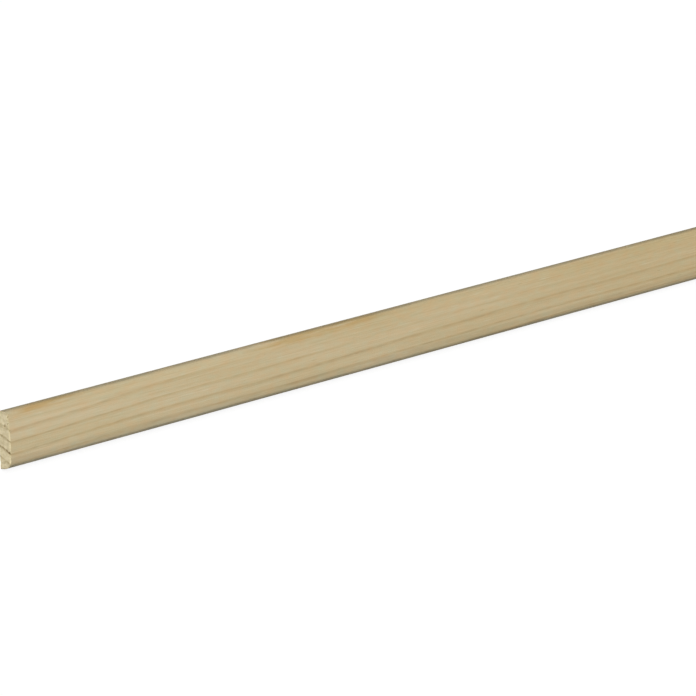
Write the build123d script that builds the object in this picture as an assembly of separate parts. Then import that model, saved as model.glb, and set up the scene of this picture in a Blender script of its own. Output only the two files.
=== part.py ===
from build123d import *
import os

# Wallpaper trim moulding: one strip of planed softwood, sold by the length.
# It lies on its flat back. X runs along the strip, Y across its face, and Z from the back to the face.
# The origin is the middle of the back. All sizes are in millimetres.

# Driving dimensions
LENGTH = 2400.0  # between the two sawn ends
WIDTH = 20.0  # across the face, edge to edge
THICKNESS = 5.0  # from the back to the middle of the crowned face
CROWN = 0.6  # how far the face falls from its middle to where it would meet the edges
FACE_ROUND = 3.0  # radius of the two long edges of the face
BACK_ARRIS = 0.3  # radius of the two long edges of the back, just enough to take off the splinters


def moulding_section():
    """The outline that the moulder's knives cut: flat back, upright edges, crowned face, rounded corners."""
    edge = WIDTH / 2
    shoulder = THICKNESS - CROWN
    with BuildSketch(Plane.YZ) as section:
        with BuildLine():
            back = Line((-edge, 0), (edge, 0))
            right_edge = Line(back @ 1, (edge, shoulder))
            face = ThreePointArc(right_edge @ 1, (0, THICKNESS), (-edge, shoulder))
            Line(face @ 1, back @ 0)
        make_face()
        fillet(section.vertices().group_by(Axis.Y)[-1], radius=FACE_ROUND)
        fillet(section.vertices().group_by(Axis.Y)[0], radius=BACK_ARRIS)
    return section.sketch


def trim_strip():
    """The section run along the full length and sawn square at both ends."""
    return extrude(moulding_section(), amount=LENGTH / 2, both=True)


os.makedirs("parts", exist_ok=True)
export_step(trim_strip(), "parts/trim_strip.step")
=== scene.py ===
# %% [markdown]
# A wallpaper trim moulding in Blender
#
# This lesson dresses one strip of planed pine: the slim moulding that covers the raw edge of wallpaper.
# The strip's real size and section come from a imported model, which is loaded first and stays as it is.
# One detailed mesh then takes its place, with the growth rings of the tree running through it.
# Rings that run through a body in three dimensions meet the face as lines and the sawn end as arcs,
# without any seam between them, which is what tells real timber from a printed film.

# %% Load the frame
from math import atan2, cos, pi, radians, sin, sqrt, tau

import bpy
import numpy as np
from mathutils import Matrix, Vector


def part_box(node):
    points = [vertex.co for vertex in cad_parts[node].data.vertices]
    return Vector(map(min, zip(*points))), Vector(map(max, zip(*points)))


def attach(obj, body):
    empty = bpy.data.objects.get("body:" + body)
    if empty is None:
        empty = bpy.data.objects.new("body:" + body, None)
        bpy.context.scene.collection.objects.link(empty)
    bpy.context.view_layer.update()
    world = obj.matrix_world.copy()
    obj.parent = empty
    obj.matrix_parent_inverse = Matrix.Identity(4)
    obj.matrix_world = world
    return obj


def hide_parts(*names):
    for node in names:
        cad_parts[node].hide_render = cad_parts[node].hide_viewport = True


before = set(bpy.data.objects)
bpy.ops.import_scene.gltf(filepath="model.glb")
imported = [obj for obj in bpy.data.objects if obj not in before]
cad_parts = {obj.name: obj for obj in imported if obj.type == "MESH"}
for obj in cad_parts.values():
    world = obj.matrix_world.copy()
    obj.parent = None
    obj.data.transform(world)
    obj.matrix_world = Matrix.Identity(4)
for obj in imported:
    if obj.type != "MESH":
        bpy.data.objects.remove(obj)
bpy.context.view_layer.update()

# %% [markdown]
# Blender works in metres, but a joiner thinks of this strip in millimetres, and its rings are a few
# millimetres apart. Here all shapes are worked out in millimetres and scaled once, when the mesh is made.
# Length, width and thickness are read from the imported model, so they can't disagree with it.

# %% Measures of the strip
MM = 0.001
STRIP = "trim_strip"

low, high = (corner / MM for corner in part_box(STRIP))
NEAR_END, FAR_END = low.x, high.x
HALF_WIDTH = high.y
THICKNESS = high.z
CROWN = 0.6  # fall of the face from its middle to where it would meet the edges
FACE_ROUND = 3.0  # radius of the face's two long edges
BACK_ARRIS = 0.3  # radius of the back's two long edges
ROUND_STARTS = HALF_WIDTH - FACE_ROUND  # where the face begins to turn down, measured from its middle
print(f"{FAR_END - NEAR_END:.0f} mm long, {2 * HALF_WIDTH:.1f} mm wide, {THICKNESS:.2f} mm thick")

# %% [markdown]
# The outline is what the moulder's knives leave: a flat back, two upright edges, and a face that is part
# of a very large circle, joined to the edges by two small ones. It could be drawn as a bevelled curve,
# but a mesh with its points in known places is easier to carve later. Two helpers are enough for that:
# one walks round part of a circle, and one spaces points evenly along any line.

# %% Points on curves
DENSE = 400  # points on each curve before they are spaced out evenly


def arc(centre, radius, start, end):
    """Points on a circle, from one angle to another."""
    angles = np.linspace(start, end, DENSE)
    return np.column_stack([centre[0] + radius * np.cos(angles), centre[1] + radius * np.sin(angles)])


def evenly(points, count):
    """The same line, with its points an equal distance apart and its last point left to the next side."""
    reach = np.concatenate([[0.0], np.cumsum(np.linalg.norm(np.diff(points, axis=0), axis=1))])
    stops = np.linspace(0.0, reach[-1], count + 1)[:-1]
    return np.column_stack([np.interp(stops, reach, points[:, axis]) for axis in (0, 1)])


quarter = evenly(arc((0, 0), FACE_ROUND, 0, pi / 2), 10)
print(f"Ten steps round a face edge would be {np.hypot(*(quarter[1] - quarter[0])):.2f} mm long")

# %% [markdown]
# A circle that touches another from the inside has its centre on the line between their centres, and
# that gives the place of the two small circles.
#
# The outline is cut into four sides that meet in the middle of the rounded corners. Opposite sides get
# the same number of points, so that later the sawn ends can be filled with a neat grid of squares.

# %% The outline of the section
ACROSS = 78  # faces across the back, and across the crowned face
UPRIGHT = 14  # faces up each narrow edge


def section_sides():
    """The back, the edge on the +Y side, the face and the edge on the -Y side, as one closed walk."""
    crown_radius = (HALF_WIDTH ** 2 + CROWN ** 2) / (2 * CROWN)
    crown_centre = THICKNESS - crown_radius
    round_z = crown_centre + sqrt((crown_radius - FACE_ROUND) ** 2 - ROUND_STARTS ** 2)
    meets = atan2(round_z - crown_centre, ROUND_STARTS)
    split = meets / 2
    arris_y = HALF_WIDTH - BACK_ARRIS
    eighth = pi / 4
    right_low = arc((arris_y, BACK_ARRIS), BACK_ARRIS, -eighth, 0)
    right_high = arc((ROUND_STARTS, round_z), FACE_ROUND, 0, split)
    right_top = arc((ROUND_STARTS, round_z), FACE_ROUND, split, meets)
    crown = arc((0, crown_centre), crown_radius, meets, pi - meets)
    back_end = arc((arris_y, BACK_ARRIS), BACK_ARRIS, -pi / 2, -eighth)

    def mirrored(points):
        return points[::-1] * (-1, 1)

    back = np.vstack([mirrored(back_end), back_end])
    right = np.vstack([right_low, right_high])
    face = np.vstack([right_top, crown, mirrored(right_top)])
    left = mirrored(right)
    return [evenly(back, ACROSS), evenly(right, UPRIGHT), evenly(face, ACROSS), evenly(left, UPRIGHT)]


sides = section_sides()
outline = np.vstack(sides)
GIRTH = len(outline)
step = np.linalg.norm(np.roll(outline, -1, axis=0) - outline, axis=1)
around = np.concatenate([[0.0], np.cumsum(step)])
print(f"{GIRTH} points, {step.min():.2f} to {step.max():.2f} mm apart, {around[-1]:.1f} mm all round")

# %% [markdown]
# A tree grows one ring a year, around its pith. The strip was sawn a long way from the pith, so its rings
# are wide arcs, a little over 3.5 mm apart, and the pith runs almost, but not quite, along it. That slow
# drift is why the dark lines on the face climb towards one edge and run out over it one after another.
#
# A noise texture could draw such lines, but the mesh needs them too, because hard latewood stands a
# little proud after planing. So the rings are a formula made of sines. It is written once and works on
# two kinds of value: arrays of numbers for the mesh, and the sockets of a shader for the colour.

# %% A value that builds shader nodes as it is calculated with
class Field:
    """A number that varies over the surface. Sums and products of it become Math nodes."""

    def __init__(self, tree, socket):
        self.tree = tree
        self.socket = socket

    def math(self, operation, *others, clamp=False):
        node = self.tree.nodes.new("ShaderNodeMath")
        node.operation = operation
        node.use_clamp = clamp
        for place, value in enumerate((self, *others)):
            plug(self.tree, value, node.inputs[place])
        return Field(self.tree, node.outputs[0])

    def __add__(self, other):
        return self.math("ADD", other)

    def __sub__(self, other):
        return self.math("SUBTRACT", other)

    def __mul__(self, other):
        return self.math("MULTIPLY", other)

    def __truediv__(self, other):
        return self.math("DIVIDE", other)


def plug(tree, value, socket):
    """Puts a number on a socket, or links a field or an output to it."""
    if isinstance(value, Field):
        tree.links.new(value.socket, socket)
    elif isinstance(value, bpy.types.NodeSocket):
        tree.links.new(value, socket)
    else:
        socket.default_value = value


print("Field turns +, -, * and / into Math nodes")

# %% [markdown]
# A few functions have no sign of their own in Python, so they look at the value first: a Field gets a
# node, and a number or an array goes to numpy. One of them, share, does most of the work from here on.
# It tells how far a value has come on its way from one place to another, and it eases in and out, so
# nothing that is made with it has a hard border. Hill uses it twice, to rise and to fall again.

# %% Maths for numbers and for nodes
def sine(value):
    return value.math("SINE") if isinstance(value, Field) else np.sin(value)


def hypotenuse(a, b):
    square = a * a + b * b
    return square.math("SQRT") if isinstance(square, Field) else np.sqrt(square)


def whole(value):
    return value.math("FLOOR") if isinstance(value, Field) else np.floor(value)


def share(value, start, end):
    """How far a value has come from start to end, from 0 to 1, easing in and out."""
    part = (value - start) / (end - start)
    part = part.math("ADD", 0.0, clamp=True) if isinstance(part, Field) else np.clip(part, 0.0, 1.0)
    return part * part * (part * -2.0 + 3.0)


def hill(value, begins, full, eases_off, over):
    """0 where it begins, 1 from where it is full to where it eases off, and 0 again where it is over."""
    return share(value, begins, full) * share(value, over, eases_off)


print("On the way from 0 to 1:", [round(float(share(part / 4, 0.0, 1.0)), 2) for part in range(5)])

# %% [markdown]
# The ring formula. Distance from the pith, divided by the width of a ring, counts the years: the number
# is whole at each dark line. The pith climbs steadily and sways, each sway given as its reach in
# millimetres, its wavelength and where in the wave it starts. The rings also swell and pinch a little.
# Near the +Y edge the years were wider, so each line lies a little further out there.
#
# The values were chosen so that the lines on the first 440 mm lie as they do on the strip in the photo.

# %% The growth rings
RING_WIDTH = 3.65
PITH_DISTANCE = 55.0
PITH_SIDE = radians(31.8)  # how far the pith lies towards the back, seen from the middle of the strip
MIDDLE_Z = 2.5  # halfway between back and face
PITH_Y = -PITH_DISTANCE * cos(PITH_SIDE)
PITH_Z = MIDDLE_Z - PITH_DISTANCE * sin(PITH_SIDE)
CLIMB = 0.0107  # millimetres towards +Y for each millimetre along the strip
SWAYS = ((-0.14, 135.0, 0.60), (0.20, 217.0, 5.65), (0.58, 658.0, 5.83))
SWELLS = ((0.094, 404.0, 4.53), (0.057, 786.0, 2.71))
UNEVEN_YEARS = ((-0.22, 5.5, 700.0, 0.96), (-0.17, 10.6, 664.0, 3.18))
COUNT_AT_MIDDLE = -2.36
WIDE_YEARS = 0.23  # of a year; how much later the lines come near the +Y edge, where the years were wide
WIDE_FROM, WIDE_TO = ROUND_STARTS - 0.4, ROUND_STARTS + 1.8  # the Y where that starts and is complete


def rings(x, y, z):
    """Counts the years from the pith outwards. The count is whole on each dark line."""
    along = x - NEAR_END
    pith = along * CLIMB + PITH_Y
    for reach, wave, start in SWAYS:
        pith = pith + sine(along * (tau / wave) + start) * reach
    distance = hypotenuse(y - pith, z - PITH_Z) - PITH_DISTANCE
    grown = distance
    for reach, across, wave, start in UNEVEN_YEARS:
        grown = grown + sine(distance * (tau / across) + along * (tau / wave) + start) * reach
    for swell, wave, start in SWELLS:
        grown = grown / (sine(along * (tau / wave) + start) * swell + 1.0)
    return grown / RING_WIDTH + COUNT_AT_MIDDLE - share(y, WIDE_FROM, WIDE_TO) * WIDE_YEARS


def from_line(count):
    """How far a place is from the nearest dark line, in years: before it below 0, after it above."""
    return count - whole(count + 0.5)


oldest, youngest = (float(rings(NEAR_END, side * HALF_WIDTH, THICKNESS / 2)) for side in (-1, 1))
print(f"{youngest - oldest:.1f} years of growth from one edge of the near end to the other")

# %% [markdown]
# Within a ring the wood goes from pale and soft, grown in spring, to dark and hard, grown in late summer.
# The darkening is gradual, and the step back to the next year's spring wood is sudden. Years differ, so
# each ring has its own strength, found from its number. On this strip the lines also fade for a while:
# those on the +Y half some way from the sawn end, those near the -Y edge close to it, and all of them a
# little in a lull that starts a few centimetres behind it.

# %% Latewood
DARKENS = 0.30  # the part of a year over which the wood darkens before the line
STEP_BACK = 0.11  # the part of a year over which it is pale again after the line
USUAL_LINE = 0.90  # how dark the line of a usual year is
YEARS_DIFFER = 0.06  # how much darker or paler other years' lines may be
LULL = (35.0, 75.0, 130.0, 190.0)  # from the sawn end: where it begins, is full, eases off and is over
LULL_LOSS = 0.2  # the share of a line's darkness that is lost there
FADE_WAVE = 680.0  # from one faded stretch of the +Y half to the next
FADE_LOSS = 0.8
WEAK_WAVE = 620.0  # the same near the -Y edge
WEAK_LOSS = 0.15
THIN_FROM, THIN_TO = ROUND_STARTS, ROUND_STARTS + 1.6  # where lines thin out on the rounded +Y edge
THIN_LOSS = 0.6


def wave_along(x, wave, start=0.0):
    """Rises from 0 at the near end to 1 half a wave further, and falls back to 0."""
    return sine((x - NEAR_END - start) * tau / wave - pi / 2) * 0.5 + 0.5


def latewood(x, y, z):
    """0 in spring wood, 1 on the dark line."""
    count = rings(x, y, z)
    year = whole(count + 0.5)
    place = count - year
    line = hill(place, -DARKENS, 0.0, 0.0, STEP_BACK)
    strength = sine(year * 2.1 + 1.4) * YEARS_DIFFER + USUAL_LINE
    lull = hill(x - NEAR_END, *LULL) * LULL_LOSS
    fading = share(y, -4.0, 6.0) * wave_along(x, FADE_WAVE) * FADE_LOSS
    weak = share(y, -4.0, -7.0) * (wave_along(x, WEAK_WAVE) * -1.0 + 1.0) * WEAK_LOSS
    thins_out = share(y, THIN_FROM, THIN_TO) * THIN_LOSS
    for loss in (lull, fading, weak, thins_out):
        line = line * (loss * -1.0 + 1.0)
    return line * strength


probe = np.linspace(-8, 8, 400)
crossings = np.flatnonzero(np.diff(whole(rings(NEAR_END, probe, THICKNESS))))
print("Dark lines meet the face at Y =", [round(float(probe[i]), 1) for i in crossings], "mm at the near end")

# %% [markdown]
# Flames. Where a ring runs out over the rounded +Y edge, the edge cuts it at such a slant that its line
# thins out and spreads into a broad orange flame. Flames come and go along the strip, so they have
# windows: waves along X that let them show in some places only, and never right at the sawn end.

# %% Flames
FLAME_FADES, FLAME_GONE = 0.16, 0.42  # of a year after the line
FLAME_WAVE = 175.0  # from one flame to the next
FLAME_WAVE_START = 0.85
RARE_FLAME_WAVE = 620.0  # from one stretch that has flames to the next
RARE_FLAME_START = 100.0
FIRST_FLAME = (2.0, 13.0)  # from the sawn end: none before the first, at full strength after the second


def flame(x, y, z):
    """A broad warm band on a dark line, where the ring runs out over the rounded +Y edge."""
    along = x - NEAR_END
    place = from_line(rings(x, y, z))
    band = hill(place, -DARKENS, 0.0, FLAME_FADES, FLAME_GONE)
    on_round = share(y, ROUND_STARTS - 0.3, ROUND_STARTS + 1.2)
    soaked = share(sine(along * (tau / FLAME_WAVE) + FLAME_WAVE_START), -0.5, 0.6)
    stretch = share(wave_along(x, RARE_FLAME_WAVE, RARE_FLAME_START), 0.66, 0.3)
    return band * on_round * soaked * share(along, *FIRST_FLAME) * stretch


probe = np.linspace(NEAR_END, FAR_END, 2000)
flames = flame(probe, HALF_WIDTH - 1.0, THICKNESS - 1.0)
print(f"A millimetre in from the +Y edge, {np.mean(flames > 0.3):.0%} of the strip's length shows a flame")

# %% [markdown]
# The mesh is the outline, repeated at stations along the strip and joined by squares. Along most of it a
# station every 5 to 10 mm is enough, because the rings change so slowly. Near the sawn ends the stations
# crowd together, to a quarter of a millimetre, since that is where the saw has left small chips. The
# length is cut into four equal rows, which the texture map uses later to unroll the surface.

# %% Stations along the strip
ROWS = 4
ROW_LENGTH = (FAR_END - NEAR_END) / ROWS
ROW_STEPS = 118  # steps in each of the two middle rows
END_STEPS = 134  # steps in each of the two end rows
FINEST = 0.22  # the step at a sawn end
OPENS_OUT = 0.35  # the part of an end row's steps over which they grow
SLOW_START = 1.5  # above 1, the steps hold back at first and then grow faster


def stations():
    """Places along the strip: close together at the ends, even in the two middle rows."""
    grow = np.linspace(0.0, 1.0, END_STEPS + 1)
    even = grow * ROW_LENGTH
    fine = grow * END_STEPS * FINEST
    ease = np.clip(grow / OPENS_OUT, 0.0, 1.0) ** SLOW_START
    end = fine * (1 - ease) + even * ease
    middle = np.linspace(ROW_LENGTH, 2 * ROW_LENGTH, ROW_STEPS + 1)[1:]
    half = np.concatenate([end, middle])
    return NEAR_END + np.concatenate([half, ROWS * ROW_LENGTH - half[-2::-1]])


places = stations()
print(f"{len(places)} stations, from {np.diff(places).min():.2f} to {np.diff(places).max():.1f} mm apart")

# %% [markdown]
# Relief. Planing leaves the surface smooth but not perfect: the knives press hard latewood down less than
# they cut soft springwood, so the dark lines end up two or three hundredths of a millimetre proud, and
# the whole surface waves by about as much. All of it is cut inwards from the outline, so that the strip
# never grows past its true section.

# %% Relief of the planed surface
PROUD = 0.03  # how far the dark lines stand above the spring wood
WAVE_DEPTH = 0.02  # how deep the slow waves are
SHORT_WAVE, LONG_WAVE = 37.0, 91.0  # two waves that never line up again within the strip


def outward(points):
    """Unit vectors that point out of a closed outline."""
    along = np.roll(points, -1, axis=0) - np.roll(points, 1, axis=0)
    out = np.column_stack([along[:, 1], -along[:, 0]])
    return out / np.linalg.norm(out, axis=1)[:, None]


def surface_depth(x, y, z):
    """How far below the outline the planed surface lies."""
    soft = 1.0 - latewood(x, y, z)
    wave = np.sin(x / SHORT_WAVE + y / 5.0) * np.sin(x / LONG_WAVE - z / 3.0 + 1.0)
    return soft * PROUD + (0.5 + 0.5 * wave) * WAVE_DEPTH


print(f"Relief of at most {PROUD + WAVE_DEPTH:.2f} mm, all of it below the outline")

# %% [markdown]
# The saw did more harm. It knocked back its own sharp corner a little, it broke chips out where the blade
# left the wood, along the back and the -Y edge, and at the near end it plucked out a few bundles of
# fibres. Chips are on both ends, so they are a pattern of sines. The pits are in the places where the
# photo shows them, so they are a short list, and a sine that bends the measure makes them ragged.

# %% Chips and pits
CHIP = 0.40  # the deepest that a chip could be
EASED = 0.05  # how far the saw's sharp corner has been knocked back
PITS = (  # the Y, Z and size of each
    (8.05, 4.25, 0.5),
    (4.95, 2.85, 0.5),
    (5.6, 4.0, 0.3),
    (3.45, 4.7, 0.4),
    (-3.4, 3.0, 0.5),
    (-4.4, 4.0, 0.7),
)
PIT_DEPTH = 0.30
PIT_BEND = 0.17
PIT_MARKS, PIT_MARKS_END = 1.0, 3.0  # how far in from the end a pit counts in full, and not at all


def chips(x_end, y, z):
    """How far the rim of a sawn end has broken back."""
    coarse = np.sin(y * 0.83 + 1.3 * np.sin(y * 0.31) + x_end) * np.sin(y * 1.9 + z * 1.1 + 0.4)
    fine = np.sin(y * 4.7 + 2.2 * np.sin(y * 1.3 + 0.7)) * np.sin(z * 5.3 - y * 0.9 + 2.0)
    ragged = np.clip(coarse - 0.1, 0.0, 1.0) * (0.6 + 0.4 * fine)
    at_minus_edge = np.clip((-y - 5.0) / 6.0, 0.0, 1.0)
    at_back = np.clip(1.0 - z, 0.0, 1.0)
    return CHIP * ragged * np.clip(at_minus_edge + at_back, 0.0, 1.0)


def pitted(x, y, z):
    """1 in the pits where the saw plucked fibres out of the near end, 0 away from them."""
    ragged_y = y + sine(z * 4.3 + y * 2.1) * PIT_BEND
    ragged_z = z + sine(y * 5.1 - z * 1.7) * PIT_BEND
    pits = y * 0.0
    for pit_y, pit_z, reach in PITS:
        pits = pits + share(hypotenuse(ragged_y - pit_y, ragged_z - pit_z), reach, reach * 0.2)
    return pits * share(x, NEAR_END + PIT_MARKS_END, NEAR_END + PIT_MARKS)


rim_chips = chips(NEAR_END, outline[:, 0], outline[:, 1])
print(f"{len(PITS)} pits; the deepest chip on the near end's rim is {rim_chips.max():.2f} mm")

# %% [markdown]
# Now the outline is set at every station, and the relief is taken off it, straight inwards. Near an end
# the chips and pits then pull the points back along the strip. Their pull dies out within a few
# millimetres, so that a chip has a slope behind it and the squares stay in order.

# %% The planed surface
CHIP_REACH = 3.0  # how far along the strip a chip or pit has pulled


def strip_points():
    """Every point of the planed surface, one row of points for each station."""
    out = outward(outline)
    x = np.repeat(places[:, None], GIRTH, axis=1)
    y = np.repeat(outline[None, :, 0], len(places), axis=0)
    z = np.repeat(outline[None, :, 1], len(places), axis=0)
    depth = surface_depth(x, y, z)
    moved = np.stack([x, y - depth * out[None, :, 0], z - depth * out[None, :, 1]], axis=-1)
    for end, inward, rim in ((NEAR_END, 1.0, 0), (FAR_END, -1.0, -1)):
        pull = np.clip(1.0 - np.abs(x - end) / CHIP_REACH, 0.0, 1.0)
        moved[..., 0] += inward * pull * (chips(end, y, z) + PIT_DEPTH * pitted(end, y, z))
        moved[rim, :, 0] += inward * EASED
    return moved


surface = strip_points()
cut_away = THICKNESS - surface[..., 2].max()
print(f"{surface[..., 0].size} points; the highest lies {cut_away:.3f} mm under the packed model's crown")

# %% [markdown]
# The sawn ends. A grid that fits four curved sides is called a Coons patch: each inner point is blended
# from the points opposite it on the four sides. It gives small even squares right up to the rim, which
# carry the saw's work: kerf marks that wander and come and go, spring wood that tore a little deeper than
# latewood, the pits, and the chips, which fade out a few squares in from the rim.

# %% The sawn ends
CORNERS = (0, ACROSS, ACROSS + UPRIGHT, 2 * ACROSS + UPRIGHT, GIRTH)  # where the outline's sides meet
KERF_PITCH = 0.9
KERF_DEPTH = 0.04
SAW_SIDEWAYS = (0.94, 0.34)  # the Y and Z of a step across the saw's marks
TORN = 0.05  # how much deeper the saw tears soft wood than hard
RIM_SQUARES = 4.0  # how far in from the rim a chip reaches


def four_sides(looped):
    """Cuts a closed walk at its corners. The last two sides are turned round, to run as the first two do."""
    back, right, face, left = (looped[start:end + 1] for start, end in zip(CORNERS, CORNERS[1:]))
    return back, right, face[::-1], left[::-1]


def coons(rim):
    """A grid of points inside a closed rim that is made of four sides."""
    back, right, face, left = four_sides(np.vstack([rim, rim[:1]]))
    u = np.linspace(0, 1, ACROSS + 1)[:, None, None]
    v = np.linspace(0, 1, UPRIGHT + 1)[None, :, None]
    sides_blend = back[:, None] * (1 - v) + face[:, None] * v + left[None] * (1 - u) + right[None] * u
    corner_blend = (back[0] * (1 - u) + back[-1] * u) * (1 - v) + (face[0] * (1 - u) + face[-1] * u) * v
    return sides_blend - corner_blend


def across_saw(y, z):
    """How far a place lies across the saw's marks, for numbers and for fields."""
    return y * SAW_SIDEWAYS[0] + z * SAW_SIDEWAYS[1]


def end_points(rim, end, inward):
    """The grid of one sawn end, with the saw's marks cut into it."""
    grid = coons(rim)
    y, z = grid[..., 1], grid[..., 2]
    sweep = across_saw(y, z) * tau / KERF_PITCH + 1.9 * np.sin(y / 2.3 + z / 4.0)
    marks = 0.5 + 0.5 * np.sin(sweep) * (0.6 + 0.4 * np.sin(y * 1.3 + 1.0))
    torn = 1.0 - latewood(np.full_like(y, end), y, z)
    across, up = np.indices(y.shape)
    inside = np.minimum(np.minimum(across, ACROSS - across), np.minimum(up, UPRIGHT - up))
    near_rim = np.clip(1.0 - inside / RIM_SQUARES, 0.0, 1.0)
    depth = marks * KERF_DEPTH + torn * TORN + near_rim * chips(end, y, z) + PIT_DEPTH * pitted(end, y, z)
    grid[..., 0] = np.where(inside > 0, end + inward * depth, grid[..., 0])
    return grid


near_grid = end_points(surface[0], NEAR_END, 1.0)
far_grid = end_points(surface[-1], FAR_END, -1.0)
print(f"{ACROSS * UPRIGHT} squares on each end, cut up to {near_grid[..., 0].max() - NEAR_END:.2f} mm deep")

# %% [markdown]
# A mesh is a list of points and a list of faces that say which points belong together. The points of the
# rim are used twice, by the planed surface and by the sawn end, so there is no crack between the two.

# %% Faces
def skin_faces():
    """Squares between neighbouring stations."""
    faces = []
    for station in range(len(places) - 1):
        for point in range(GIRTH):
            after = (point + 1) % GIRTH
            here, there = station * GIRTH, (station + 1) * GIRTH
            faces.append((here + point, here + after, there + after, there + point))
    return faces


def rim_grid(first):
    """The numbers of the rim's points, placed round the edge of an end's grid."""
    numbers = np.zeros((ACROSS + 1, UPRIGHT + 1), int)
    walk = first + np.arange(GIRTH + 1) % GIRTH
    numbers[:, 0], numbers[-1, :], numbers[:, -1], numbers[0, :] = four_sides(walk)
    return numbers


def end_faces(first_rim, first_inner, flipped):
    """Squares of a sawn end, whose inner points are numbered from first_inner."""
    grid = rim_grid(first_rim)
    grid[1:-1, 1:-1] = first_inner + np.arange((ACROSS - 1) * (UPRIGHT - 1)).reshape(ACROSS - 1, -1)
    numbers = grid.tolist()
    faces = []
    for i in range(ACROSS):
        for j in range(UPRIGHT):
            square = (numbers[i][j], numbers[i][j + 1], numbers[i + 1][j + 1], numbers[i + 1][j])
            faces.append(square[::-1] if flipped else square)
    return faces


planed_faces = skin_faces()
skin_count = len(planed_faces)
print(f"{skin_count} squares on the planed surface")

# %% [markdown]
# Now everything becomes one closed mesh. Each face gets the number of a material, planed or sawn. The
# shading is smooth, but the rim of each end is marked sharp, which keeps the saw's crisp corner.

# %% One mesh for the whole strip
PLANED, SAWN = 0, 1  # the order in which the strip gets its two materials


def in_scene(name, data):
    """A new object in the scene that holds a mesh, a lamp or a camera."""
    thing = bpy.data.objects.new(name, data)
    bpy.context.scene.collection.objects.link(thing)
    return thing


def build_strip():
    """The whole strip as one mesh object, with its two materials still to come."""
    skin = surface.reshape(-1, 3)
    inner = [grid[1:-1, 1:-1].reshape(-1, 3) for grid in (near_grid, far_grid)]
    points = np.vstack([skin, *inner]) * MM
    near_faces = end_faces(0, len(skin), False)
    far_faces = end_faces(len(skin) - GIRTH, len(skin) + len(inner[0]), True)
    faces = planed_faces + near_faces + far_faces
    mesh = bpy.data.meshes.new("pine_trim")
    mesh.from_pydata(points.tolist(), [], faces)
    kinds = np.full(len(faces), SAWN)
    kinds[:skin_count] = PLANED
    mesh.polygons.foreach_set("material_index", kinds)
    mesh.polygons.foreach_set("use_smooth", np.ones(len(faces), bool))
    rims = set(range(GIRTH)) | set(range(len(skin) - GIRTH, len(skin)))
    for edge in mesh.edges:
        edge.use_edge_sharp = rims.issuperset(edge.vertices)
    mesh.update()
    return in_scene("pine_trim", mesh)


trim = build_strip()
print(f"{len(trim.data.polygons)} squares, {2 * len(trim.data.polygons)} triangles")

# %% [markdown]
# The texture map. If the finish is ever baked to a picture, a strip 2400 mm long and 47 mm round would
# waste nearly all of a square one. So the map unrolls the skin as four rows of 600 mm, one above the
# other, and puts the two sawn ends in the narrow margin above them.

# %% The texture map
MARGIN = 0.008
ROW_PITCH = 0.235  # from the foot of one row to the foot of the next
ROW_HEIGHT = 0.225
END_SCALE = 0.005  # map units for each millimetre of a sawn end
END_LEFT = (0.02, 0.15)  # where the near end and the far end begin
END_FLOOR = 0.962


def lay_out_map(mesh):
    """Gives every corner of every face its place on the map."""
    layer = mesh.uv_layers.new(name="OFBake")
    uv = np.zeros((len(mesh.loops), 2))
    station, point = np.divmod(np.arange(skin_count), GIRTH)
    middle = (places[station] + places[station + 1]) / 2
    row = np.clip((middle - NEAR_END) // ROW_LENGTH, 0, ROWS - 1)
    corners = ((0, 0), (0, 1), (1, 1), (1, 0))
    for corner, (ahead, up) in enumerate(corners):
        loops = slice(corner, len(corners) * skin_count, len(corners))
        x = places[station + ahead] - NEAR_END - row * ROW_LENGTH
        height = around[point + up] / around[-1] * ROW_HEIGHT
        uv[loops, 0] = MARGIN + x / ROW_LENGTH * (1 - 2 * MARGIN)
        uv[loops, 1] = MARGIN + row * ROW_PITCH + height
    for polygon in mesh.polygons[skin_count:]:
        left = END_LEFT[polygon.center.x > 0]
        for loop in polygon.loop_indices:
            place = mesh.vertices[mesh.loops[loop].vertex_index].co / MM
            uv[loop] = (left + (place.y + HALF_WIDTH) * END_SCALE, END_FLOOR + place.z * END_SCALE)
    layer.data.foreach_set("uv", uv.ravel())
    return uv


uv = lay_out_map(trim.data)
print(f"The map runs from {uv.min():.3f} to {uv.max():.3f}")

# %% [markdown]
# Small helpers for shader trees. A node group has named inputs and outputs and can be placed in any
# material with its own values. Each group here puts out only masks and values that change over the wood.
# The shader itself stays in the material.

# %% Nodes and groups
def add(tree, kind, **settings):
    """A new node, with its settings."""
    node = tree.nodes.new(kind)
    for name, value in settings.items():
        setattr(node, name, value)
    return node


def fill(tree, node, values):
    """Puts numbers, fields and outputs on a node's inputs, which are given by name."""
    for label, value in values.items():
        plug(tree, value, node.inputs[label])
    return node


def new_group(name, inputs):
    """An empty node group, and its inputs as fields."""
    group = bpy.data.node_groups.new(name, "ShaderNodeTree")
    for label, value in inputs.items():
        socket = group.interface.new_socket(label, in_out="INPUT", socket_type="NodeSocketFloat")
        socket.default_value = value
    entry = add(group, "NodeGroupInput")
    return group, {label: Field(group, entry.outputs[label]) for label in inputs}


def with_outputs(group, fields):
    """The same group, with an output for each field."""
    for label in fields:
        group.interface.new_socket(label, in_out="OUTPUT", socket_type="NodeSocketFloat")
    fill(group, add(group, "NodeGroupOutput"), fields)
    return group


def place_group(tree, group, **values):
    """Puts a group into a material, with its own values."""
    return fill(tree, add(tree, "ShaderNodeGroup", node_tree=group), values)


print("Helpers for shader trees: add, fill, new_group, with_outputs and place_group")

# %% [markdown]
# Wood is the same all through, so its colour is looked up by where a point is in the strip, not by where
# it lies on a map. Most of its marks are long and thin, because its cells are. One helper gives the
# place in millimetres, one stretches it by as much as each mark needs, and one makes noise from that.

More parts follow.
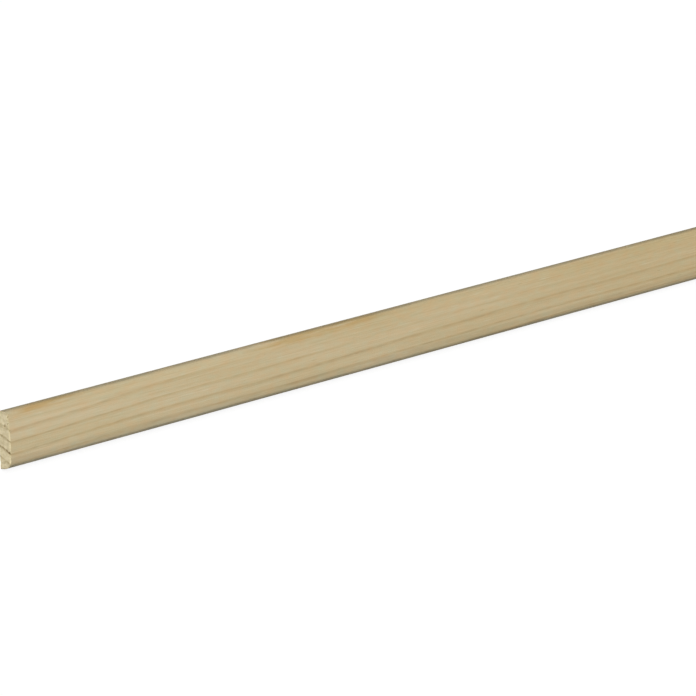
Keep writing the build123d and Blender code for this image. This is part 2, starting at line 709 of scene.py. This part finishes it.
# %% Place in the wood, and noise along the grain
def position_mm(tree):
    """Where a point of the wood is, in millimetres: the same numbers that shaped the mesh."""
    place = add(tree, "ShaderNodeTexCoord")
    parts = add(tree, "ShaderNodeSeparateXYZ")
    tree.links.new(place.outputs["Object"], parts.inputs[0])
    return [Field(tree, parts.outputs[axis]) / MM for axis in range(3)]


def stretched(tree, x, y, z, scales):
    """A place as one vector, with each measure scaled. Scales are grains for each millimetre."""
    joined = add(tree, "ShaderNodeCombineXYZ")
    for value, scale, socket in zip((x, y, z), scales, joined.inputs):
        plug(tree, value * scale, socket)
    return joined.outputs[0]


def stretched_noise(tree, x, y, z, scales, detail=2.0, roughness=0.5):
    """Noise whose grains are drawn out along the strip."""
    place = stretched(tree, x, y, z, scales)
    values = {"Vector": place, "Scale": 1.0, "Detail": detail, "Roughness": roughness}
    noise = fill(tree, add(tree, "ShaderNodeTexNoise"), values)
    return Field(tree, noise.outputs["Fac"])


print("A scale of 0.02 along and 0.9 across draws each grain out", round(0.9 / 0.02), "times as long as wide")

# %% [markdown]
# The first group holds the growth rings. It runs the very functions that shaped the mesh, this time on
# shader sockets, so colour and relief fall on the same lines. A little noise roughens the edges of the
# lines, because no real ring is a perfect curve, and more of it breaks them up where the knives have cut
# them unevenly. Besides the lines and flames the group gives each year a tone, and a mark of how clearly
# its line shows on rough wood.

# %% Growth rings as a node group
def growth_rings_group():
    """Masks for the dark lines and flames, and values that differ from year to year."""
    group, given = new_group("growth rings", {"Waver": 0.12, "Broken": 1.0})
    x, y, z = position_mm(group)
    waver = stretched_noise(group, x, y, z, (0.02, 0.9, 0.9), detail=3.0)
    y = y + (waver - 0.5) * given["Waver"] * 2.0
    patches = stretched_noise(group, x, y, z, (0.10, 0.6, 0.6), detail=3.0)
    ragged = stretched_noise(group, x, y, z, (0.05, 0.8, 0.8), detail=3.0)
    count = rings(x, y, z)
    return with_outputs(group, {
        "Latewood": latewood(x, y, z) * ((patches - 0.5) * given["Broken"] + 1.0),
        "Flame": flame(x, y, z) * share(ragged, 0.25, 0.6),
        "Year tone": sine(whole(count) * 5.3 + 1.0) * 0.5 + 0.5,
        "Clear years": sine(whole(count + 0.5) * 0.95 + 4.35) * 0.5 + 0.5,
    })


growth_rings = growth_rings_group()
print("growth rings:", len(growth_rings.nodes), "nodes")

# %% [markdown]
# The second group holds the fibres: broad streaks, a millimetre wide and longer than a hand, dark
# hairlines a fifth as wide, the fine silk between them, a few pale flecks, and the resin canals, which
# show on a planed face as short dark dashes and on a sawn end as dots. Noise and cells would give round
# spots, so all of them are stretched hard along the strip.

# %% Fibres as a node group
def fibres_group():
    """Masks for everything that is as narrow as the wood's own cells."""
    group, given = new_group("fibres", {"Canals": 0.5})
    x, y, z = position_mm(group)
    hairs = stretched_noise(group, x, y, z, (0.025, 4.5, 4.5), detail=2.0, roughness=0.55)
    cells = add(group, "ShaderNodeTexVoronoi", feature="F1")
    fill(group, cells, {"Vector": stretched(group, x, y, z, (0.07, 1.3, 1.3)), "Scale": 1.0})
    distance = Field(group, cells.outputs["Distance"])
    chance = add(group, "ShaderNodeSeparateColor")  # each cell has a random colour, which says what it holds
    fill(group, chance, {"Color": cells.outputs["Color"]})
    enough = given["Canals"] * -0.4 + 1.0
    has_canal = share(Field(group, chance.outputs["Red"]), enough, enough + 0.06)
    has_fleck = share(Field(group, chance.outputs["Green"]), 0.72, 0.78)
    return with_outputs(group, {
        "Streaks": stretched_noise(group, x, y, z, (0.006, 1.1, 1.1), detail=4.0, roughness=0.62),
        "Silk": stretched_noise(group, x, y, z, (0.12, 9.0, 9.0), detail=3.0, roughness=0.6),
        "Hairlines": share(hairs, 0.52, 0.70),
        "Canal marks": share(distance, 0.16, 0.05) * has_canal,
        "Flecks": share(distance, 0.3, 0.1) * has_fleck,
    })


fibres = fibres_group()
print("fibres:", len(fibres.nodes), "nodes")

# %% [markdown]
# The third group holds what is larger than the grain: a tone that drifts along the strip, blotches a few
# centimetres long where resin has soaked the wood, a mottle of pinker and greener wood between the lines,
# and the wood towards the +Y edge, which is a little warmer. On top of it lies painted shade: a grey
# darkening of the long edges, painted into the colour. It is thickest on the rounds, and more of it is on
# the -Y side, where it also darkens the shoulder at which the face begins to turn down. It is patchy,
# lighter here and there.

# %% Tints as a node group
# Painted shade on the long edges: darker on the rounds, and more so on the -Y side.
PAINTED_SHADE_PLUS = ((2.8, 1.5, 0.16), (0.6, 0.0, 0.70))  # from the +Y edge: where it begins, is full, how much
PAINTED_SHADE_MINUS = ((5.0, 3.0, 0.18), (1.7, 1.0, 0.82), (0.2, 0.05, -0.40))  # from the -Y edge, with less on it
PAINTED_SHADE_LOW_DOWN = 0.35  # how much more there is low down on the +Y edge
SHOULDER = (4.2, 3.3, 2.8, 2.0)  # from the -Y edge: where it begins, is full, eases off and is over
PAINTED_SHADE_ON_SHOULDER = 0.14
PAINTED_SHADE_ON_AVERAGE = 1.03  # how much of the painted shade stays on average
UNEVEN_PAINTED_SHADE = 2.4  # how strongly it differs from place to place


def painted_shade_towards(from_edge, steps):
    """Painted shade that builds up in steps towards an edge."""
    painted_shade = from_edge * 0.0
    for begins, full, amount in steps:
        painted_shade = painted_shade + share(from_edge, begins, full) * amount
    return painted_shade


def tints_group():
    """Masks for what is wider than the grain."""
    group, given = new_group("tints", {"Wave": 1000.0})
    x, y, z = position_mm(group)
    from_plus_edge = y * -1.0 + HALF_WIDTH
    from_minus_edge = y + HALF_WIDTH
    # Painted shade on the long edges, low on the +Y edge and on the -Y shoulder, made patchy by noise.
    painted_shade = painted_shade_towards(from_plus_edge, PAINTED_SHADE_PLUS) + painted_shade_towards(from_minus_edge, PAINTED_SHADE_MINUS)
    low_down = share(from_plus_edge, 0.2, 0.05) * share(z, 2.0, 0.8) * PAINTED_SHADE_LOW_DOWN
    shoulder = hill(from_minus_edge, *SHOULDER) * PAINTED_SHADE_ON_SHOULDER
    patchy = stretched_noise(group, x, y, z, (0.06, 0.35, 0.35), detail=3.0, roughness=0.6)
    painted_shade_amount = (patchy - 0.5) * UNEVEN_PAINTED_SHADE + PAINTED_SHADE_ON_AVERAGE
    return with_outputs(group, {
        "Drift": wave_along(x, given["Wave"]),
        "Blotches": stretched_noise(group, x, y, z, (0.012, 0.16, 0.16), detail=2.0),
        "Mottle": stretched_noise(group, x, y, z, (0.15, 0.40, 0.40), detail=3.0, roughness=0.6),
        "Painted edge shade": (painted_shade + low_down + shoulder) * painted_shade_amount,
        "Warm side": share(y, 1.5, 7.5),
    })


tints = tints_group()
print("tints:", len(tints.nodes), "nodes")

# %% [markdown]
# The two finishes need a few more helpers. Wood gets its colour in layers, so tinted multiplies a colour
# by a tint that follows a mask, and in_layers does so over and over. With tints close to white, many faint
# layers add up, as they do in wood, and none of them looks painted on. Bump is for what is finer than the
# mesh.

# %% Colour, material and bump
def ramp(tree, value, stops):
    """A colour ramp through a list of (place, colour)."""
    node = add(tree, "ShaderNodeValToRGB")
    elements = node.color_ramp.elements
    elements.remove(elements[1])
    elements[0].position, elements[0].color = stops[0][0], (*stops[0][1], 1.0)
    for place, colour in stops[1:]:
        elements.new(place).color = (*colour, 1.0)
    plug(tree, value, node.inputs["Fac"])
    return node.outputs["Color"]


def tinted(tree, colour, value, low_tint, high_tint):
    """A colour multiplied by a tint that goes from one to another as the value goes from 0 to 1."""
    tint = ramp(tree, value, [(0.0, low_tint), (1.0, high_tint)])
    mix = add(tree, "ShaderNodeMix", data_type="RGBA", blend_type="MULTIPLY")
    fill(tree, mix, {"Factor": 1.0, "A": colour, "B": tint})
    return mix.outputs["Result"]


def in_layers(tree, colour, layers):
    """A colour with tints laid over it. Each layer is a mask, its tint at 0 and its tint at 1."""
    for mask, low_tint, high_tint in layers:
        colour = tinted(tree, colour, mask, low_tint, high_tint)
    return colour


def new_material(name):
    """A material with an empty tree, apart from its shader and output."""
    material = bpy.data.materials.new(name)
    material.use_nodes = True
    tree = material.node_tree
    tree.nodes.clear()
    shader = add(tree, "ShaderNodeBsdfPrincipled")
    output = add(tree, "ShaderNodeOutputMaterial")
    tree.links.new(shader.outputs["BSDF"], output.inputs["Surface"])
    return material, tree, shader


def bumps(tree, height, distance):
    """The direction of a surface with bumps on it, so many millimetres high where the height is 1."""
    values = {"Strength": 1.0, "Distance": distance * MM, "Height": height}
    return fill(tree, add(tree, "ShaderNodeBump"), values).outputs["Normal"]


def put_on(strip, material):
    """Gives the strip its next material."""
    strip.data.materials.append(material)
    print(material.name, "has", len(material.node_tree.nodes), "nodes of its own")


print("Helpers for finishes: ramp, tinted, in_layers, new_material, bumps and put_on")

# %% [markdown]
# Planed pine. The colour goes from pale spring wood over a warm tan to the brown of the dark line, and
# then the layers of fibres, tints and painted edge shade go over it, one after another. Bare planed wood is
# matt with a very slight silk, a little smoother on the hard latewood. The bump carries the silk, the open
# hairlines and canals, and the ripple that the planer's knives leave across the strip.

# %% The planed finish
SPRING_WOOD = (0.538, 0.446, 0.277)
WARM_TAN = (0.507, 0.407, 0.238)
DARK_LINE = (0.440, 0.344, 0.198)
KNIFE_PITCH = 1.6  # from one cut of the planer to the next
UNEVEN_CUTS, UNEVEN_OVER = 0.7, 41.0  # how early or late the cuts come, and how slowly that changes
PLANED_BUMP = 0.03
AS_IT_IS = (1.0, 1.0, 1.0)  # a tint that changes nothing


def planed_pine():
    """The finish of the face, the back and the long edges."""
    material, tree, shader = new_material("planed_pine")
    wood = place_group(tree, growth_rings, Waver=0.14, Broken=1.8)
    grain = place_group(tree, fibres, Canals=0.5)
    cast = place_group(tree, tints, Wave=1100.0)
    late = wood.outputs["Latewood"]
    colour = ramp(tree, late, [(0.0, SPRING_WOOD), (0.55, WARM_TAN), (1.0, DARK_LINE)])
    layers = (
        (wood.outputs["Year tone"], (0.985, 0.975, 0.955), (1.01, 1.01, 1.02)),
        (grain.outputs["Streaks"], (0.90, 0.865, 0.80), (1.08, 1.11, 1.16)),
        (grain.outputs["Silk"], (0.84, 0.82, 0.78), (1.16, 1.18, 1.22)),
        (grain.outputs["Hairlines"], (1.015, 1.015, 1.02), (0.93, 0.915, 0.88)),
        (cast.outputs["Blotches"], (0.93, 0.91, 0.82), (1.07, 1.09, 1.17)),
        (cast.outputs["Drift"], AS_IT_IS, (0.93, 0.90, 0.84)),
        (wood.outputs["Flame"], AS_IT_IS, (0.90, 0.80, 0.62)),
        (cast.outputs["Mottle"], (1.09, 0.93, 0.83), (0.91, 1.07, 1.17)),
        (cast.outputs["Warm side"], AS_IT_IS, (0.982, 0.968, 0.940)),
        # painted shade on the long edges
        (cast.outputs["Painted edge shade"], AS_IT_IS, (0.64, 0.67, 0.69)),
        (grain.outputs["Canal marks"], AS_IT_IS, (0.82, 0.75, 0.64)),
        (grain.outputs["Flecks"], AS_IT_IS, (1.06, 1.09, 1.16)),
    )
    x = position_mm(tree)[0]
    knife = sine(x * (tau / KNIFE_PITCH) + sine(x / UNEVEN_OVER) * UNEVEN_CUTS)
    silk, hairlines, canals = (
        Field(tree, grain.outputs[label]) for label in ("Silk", "Hairlines", "Canal marks")
    )
    height = silk * 0.9 + knife * 0.08 - hairlines * 0.3 - canals * 0.6
    fill(tree, shader, {
        "Base Color": in_layers(tree, colour, layers),
        "Roughness": Field(tree, late) * -0.12 + silk * 0.16 + 0.62,
        "Specular IOR Level": 0.1,
        "Normal": bumps(tree, height, PLANED_BUMP),
    })
    return material


put_on(trim, planed_pine())

# %% [markdown]
# Sawn end grain. The saw cuts straight through the fibres, so the end is rough and dead matt. It looks
# paler and greyer than the face, because the torn fibre ends scatter the light. The rings stand out as
# arcs, some clear and some nearly lost among the torn fibres, and they wander more than on the face. The
# rays, thin sheets of cells that run from the pith outwards, cross them as faint light hairlines.
#
# The saw leaves its own marks too: fine scratches along its path, and bruises. Three more marks are
# light and shade painted into the colour: painted shade in the pits, a painted highlight as a paler
# rim along the face, and painted shade as a darker rim along the -Y edge.

# %% The sawn finish
END_SPRING = (0.538, 0.470, 0.310)
END_TAN = (0.405, 0.340, 0.205)
END_DARK = (0.220, 0.165, 0.085)
PAINTED_RIM_HIGHLIGHT = (0.9, 0.3)  # below the face: where the painted highlight on the rim begins and where it is full
PAINTED_RIM_SHADE = (0.6, 0.1)  # the same for the painted shade on the rim, in from the -Y edge
SAWN_BUMP = 0.08


def sawn_pine():
    """The finish of the two ends."""
    material, tree, shader = new_material("sawn_pine")
    wood = place_group(tree, growth_rings, Waver=0.55, Broken=0.0)
    grain = place_group(tree, fibres, Canals=0.8)
    x, y, z = position_mm(tree)
    torn = stretched_noise(tree, x, y, z, (0.0, 0.8, 0.8), detail=2.0)
    clear = Field(tree, wood.outputs["Clear years"]) * share(torn, 0.28, 0.55)
    late = Field(tree, wood.outputs["Latewood"]) * (clear * 0.8 + 0.2)
    colour = ramp(tree, late, [(0.0, END_SPRING), (0.5, END_TAN), (1.0, END_DARK)])
    ray_run = y * -sin(PITH_SIDE) + z * cos(PITH_SIDE)
    rays = stretched_noise(tree, x, ray_run, ray_run, (0.0, 4.5, 0.0), detail=2.0)
    fuzz = stretched_noise(tree, x, y, z, (1.0, 7.0, 7.0), detail=4.0, roughness=0.7)
    bruises = stretched_noise(tree, x, y, z, (0.0, 0.55, 0.75), detail=3.0, roughness=0.6)
    under_face = (z + y * y * (CROWN / HALF_WIDTH ** 2)) * -1.0 + THICKNESS
    layers = (
        (rays, (0.93, 0.92, 0.89), (1.07, 1.07, 1.08)),
        (fuzz, (0.86, 0.84, 0.80), (1.12, 1.13, 1.16)),
        (share(bruises, 0.3, 0.7), (0.87, 0.855, 0.82), (1.10, 1.11, 1.13)),
        # a painted highlight along the rim under the face
        (share(under_face, *PAINTED_RIM_HIGHLIGHT), AS_IT_IS, (1.17, 1.17, 1.11)),
        # painted shade along the rim at the -Y edge
        (share(y + HALF_WIDTH, *PAINTED_RIM_SHADE), AS_IT_IS, (0.70, 0.70, 0.72)),
        # painted shade in the pits
        (pitted(x, y, z), AS_IT_IS, (0.60, 0.55, 0.46)),
        (grain.outputs["Canal marks"], AS_IT_IS, (0.6, 0.5, 0.38)),
    )
    along_saw = across_saw(z, y * -1.0)
    scratches = stretched_noise(tree, across_saw(y, z), along_saw, x, (3.2, 0.22, 0.0), detail=3.0)
    fill(tree, shader, {
        "Base Color": in_layers(tree, colour, layers),
        "Roughness": fuzz * 0.15 + 0.78,
        "Specular IOR Level": 0.05,
        "Normal": bumps(tree, fuzz * 0.9 + scratches * 1.1, SAWN_BUMP),
    })
    return material


put_on(trim, sawn_pine())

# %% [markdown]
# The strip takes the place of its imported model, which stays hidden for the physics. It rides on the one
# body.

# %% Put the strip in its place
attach(trim, "root")
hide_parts(STRIP)
print(trim.name, "stands for", STRIP)

# %% [markdown]
# The floor. The strip lies on its back on a plain white floor. To the camera the floor is mostly a white
# that gives off its own light, with a share of plain paint in it that still takes the strip's shadow.
# For every other ray it is a pale grey, so that it throws back only as much light as a studio floor
# would, and the strip's narrow edges stay darker than its face.

# %% Floor and backdrop
FLOOR_REACH = 150.0  # metres from the middle to each edge, so that it never ends in view
FLOOR_PAINT = 0.22
FLOOR_GLOW = 0.80
FLOOR_BOUNCE = 0.60
WHITE = (1.0, 1.0, 1.0, 1.0)


def seen_by_eye(tree):
    """1 for rays from the camera and for those that gloss or glass sends on, 0 for light that spreads."""
    path = add(tree, "ShaderNodeLightPath")
    total = Field(tree, path.outputs["Is Camera Ray"])
    for name in ("Is Glossy Ray", "Is Transmission Ray"):
        total = total.math("MAXIMUM", path.outputs[name])
    return total


def white_floor():
    """A large flat square under the strip."""
    square = ((-1, -1), (1, -1), (1, 1), (-1, 1))
    corners = [(x * FLOOR_REACH, y * FLOOR_REACH, 0.0) for x, y in square]
    mesh = bpy.data.meshes.new("floor")
    mesh.from_pydata(corners, [], [(0, 1, 2, 3)])
    material, tree, shader = new_material("floor_white")
    eye = seen_by_eye(tree)
    fill(tree, shader, {
        "Base Color": eye * (FLOOR_PAINT - FLOOR_BOUNCE) + FLOOR_BOUNCE,
        "Emission Color": WHITE,
        "Emission Strength": eye * FLOOR_GLOW,
        "Roughness": 1.0,
        "Specular IOR Level": 0.0,
    })
    mesh.materials.append(material)
    return in_scene("floor", mesh)


white_floor()
print(f"The floor reaches {FLOOR_REACH:.0f} m each way")

# %% [markdown]
# The light. A large soft lamp stands over the camera's shoulder, high on the side of the sawn end and a
# little towards the +Y edge, so the face is fully lit, the sawn end a little more, and the -Y edge less.
# A sun with a wide angle does the same for a floor of any size. The rest is an even skylight from the
# world. Together they light a level surface with a strength of 1, so a colour renders as it is written.

# %% Lights
SKY = 0.15
SUN_LEANS = (-0.90, 0.45)  # how far the light leans towards -X and +Y, for each unit of height
SUN_SPREAD = radians(45)


def soft_sun():
    """The large soft lamp."""
    towards = Vector((*SUN_LEANS, 1.0))
    lamp = bpy.data.lights.new("soft_key", "SUN")
    lamp.angle = SUN_SPREAD
    lamp.energy = (1.0 - SKY) * pi * towards.length
    sun = in_scene("soft_key", lamp)
    sun.rotation_mode = "QUATERNION"
    sun.rotation_quaternion = towards.to_track_quat("Z", "Y")


def even_sky():
    """A world that is white to look at and lights the strip only faintly."""
    world = bpy.data.worlds.new("studio")
    world.use_nodes = True
    tree = world.node_tree
    strength = seen_by_eye(tree) * (1.0 - SKY) + SKY
    fill(tree, tree.nodes["Background"], {"Color": WHITE, "Strength": strength})
    bpy.context.scene.world = world


soft_sun()
even_sky()
print(f"Key light {1 - SKY:.2f}, sky {SKY:.2f}")

# %% [markdown]
# The camera. It looks along the strip from beyond the sawn end, a good third of a right angle above the
# face, through a very long lens, and it is turned on its side, so that the +Y edge is up in the picture.
# The values come from fitting a pinhole camera to the two long outlines and the sawn end in the photo.

# %% Camera
LOOKS_AT = Vector((NEAR_END + 207.9, 0.55, 5.0)) * MM
CAMERA_DISTANCE = 2.605
CAMERA_TURN = radians(9.81)  # from straight along the strip, towards +Y
CAMERA_HEIGHT = radians(33.53)  # above the face
CAMERA_ROLL = radians(92.27)
LENS = 371.1  # millimetres, like the width of the sensor behind it
SENSOR_WIDTH = 36.0
SEES_TO = 1000.0  # metres, well beyond the edge of the floor


def photo_camera():
    """The camera, looking from where the photo was taken."""
    level = cos(CAMERA_HEIGHT)
    back = Vector((-cos(CAMERA_TURN) * level, sin(CAMERA_TURN) * level, sin(CAMERA_HEIGHT)))
    data = bpy.data.cameras.new("photo_camera")
    data.lens = LENS
    data.sensor_width = SENSOR_WIDTH
    data.clip_end = SEES_TO
    camera = in_scene("photo_camera", data)
    upright = back.to_track_quat("Z", "Y").to_matrix().to_4x4()
    roll = Matrix.Rotation(CAMERA_ROLL, 4, "Z")
    camera.matrix_world = Matrix.Translation(LOOKS_AT + back * CAMERA_DISTANCE) @ upright @ roll
    bpy.context.scene.camera = camera


photo_camera()
bpy.context.scene.view_settings.view_transform = "Standard"
print(f"The camera stands {CAMERA_DISTANCE:.1f} m away, behind a {LENS:.0f} mm lens")
